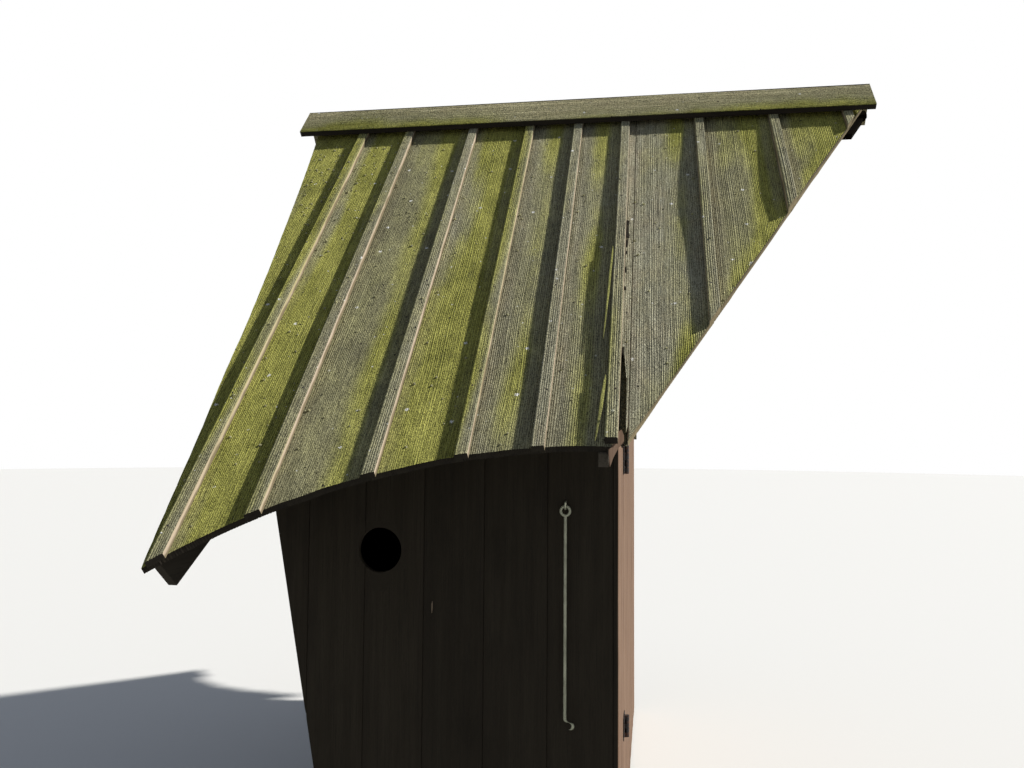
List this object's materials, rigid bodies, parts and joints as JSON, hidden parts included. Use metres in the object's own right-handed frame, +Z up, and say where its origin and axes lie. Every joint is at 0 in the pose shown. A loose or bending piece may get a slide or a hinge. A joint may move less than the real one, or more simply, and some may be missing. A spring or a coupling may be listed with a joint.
{
  "type": "garden shed",
  "caption": "Small timber shed with a deep swept roof of battened boards, one leaning gable, a round vent hole, a hinged gable door and a hanging cabin hook.",
  "frame": {"origin": "on the ground, under the middle of the ridge cap", "axes": "+X along the ridge to the door gable, +Y from the wall with the round hole to the far wall, +Z up"},
  "size_m": [2.004, 2.7778, 2.4043],
  "materials": {
    "weathered_roof": "weathered, mossy",
    "cap_wood": "weathered, mossy",
    "dark_stain": "dark brown stain",
    "gable_wood": "faded reddish stain",
    "sawn_wood": "sawn, unfinished",
    "black_iron": "black, worn",
    "galvanised": "dull zinc"
  },
  "bodies": {
    "shed": {"roof_front": "weathered_roof", "roof_back": "weathered_roof", "battens_front": "weathered_roof", "battens_back": "weathered_roof", "cap_front": "cap_wood", "cap_back": "cap_wood", "ridge_beam": "dark_stain", "eave_arm_front": "dark_stain", "eave_arm_back": "dark_stain", "tip_bracket_front": "dark_stain", "tip_bracket_back": "dark_stain", "verge_cleat": "dark_stain", "front_wall": "dark_stain", "back_wall": "dark_stain", "left_wall": "dark_stain", "right_wall_front": "gable_wood", "right_wall_back": "gable_wood", "right_wall_over_door": "gable_wood", "right_wall_sill": "gable_wood", "floor_bearers": "sawn_wood", "floor_boards": "sawn_wood", "corner_post_right_front": "sawn_wood", "corner_post_right_back": "sawn_wood", "corner_post_left_front": "sawn_wood", "corner_post_left_back": "sawn_wood", "door_post_front": "sawn_wood", "door_post_back": "sawn_wood", "door_head": "sawn_wood", "wall_plate_front": "sawn_wood", "wall_plate_back": "sawn_wood", "rafter_front": "sawn_wood", "rafter_back": "sawn_wood", "hinge_wall_leaves": "black_iron", "hinge_pins": "black_iron", "screw_eye": "galvanised"},
    "door": {"door_boards": "gable_wood", "door_ledges": "gable_wood", "door_brace": "gable_wood", "hinge_door_leaves": "black_iron"},
    "cabin_hook": {"cabin_hook": "galvanised"}
  },
  "joints": [
    {"name": "door_hinge", "type": "hinge", "parent": "shed", "child": "door", "pos_m": [0.1955, -0.54, 0.7], "axis": [0, 0, -1], "range_deg": [0, 130]},
    {"name": "hook_swing", "type": "hinge", "parent": "shed", "child": "cabin_hook", "pos_m": [0.054, -0.896, 1.016], "axis": [0, 1, 0], "range_deg": [-95, 95]}
  ]
}
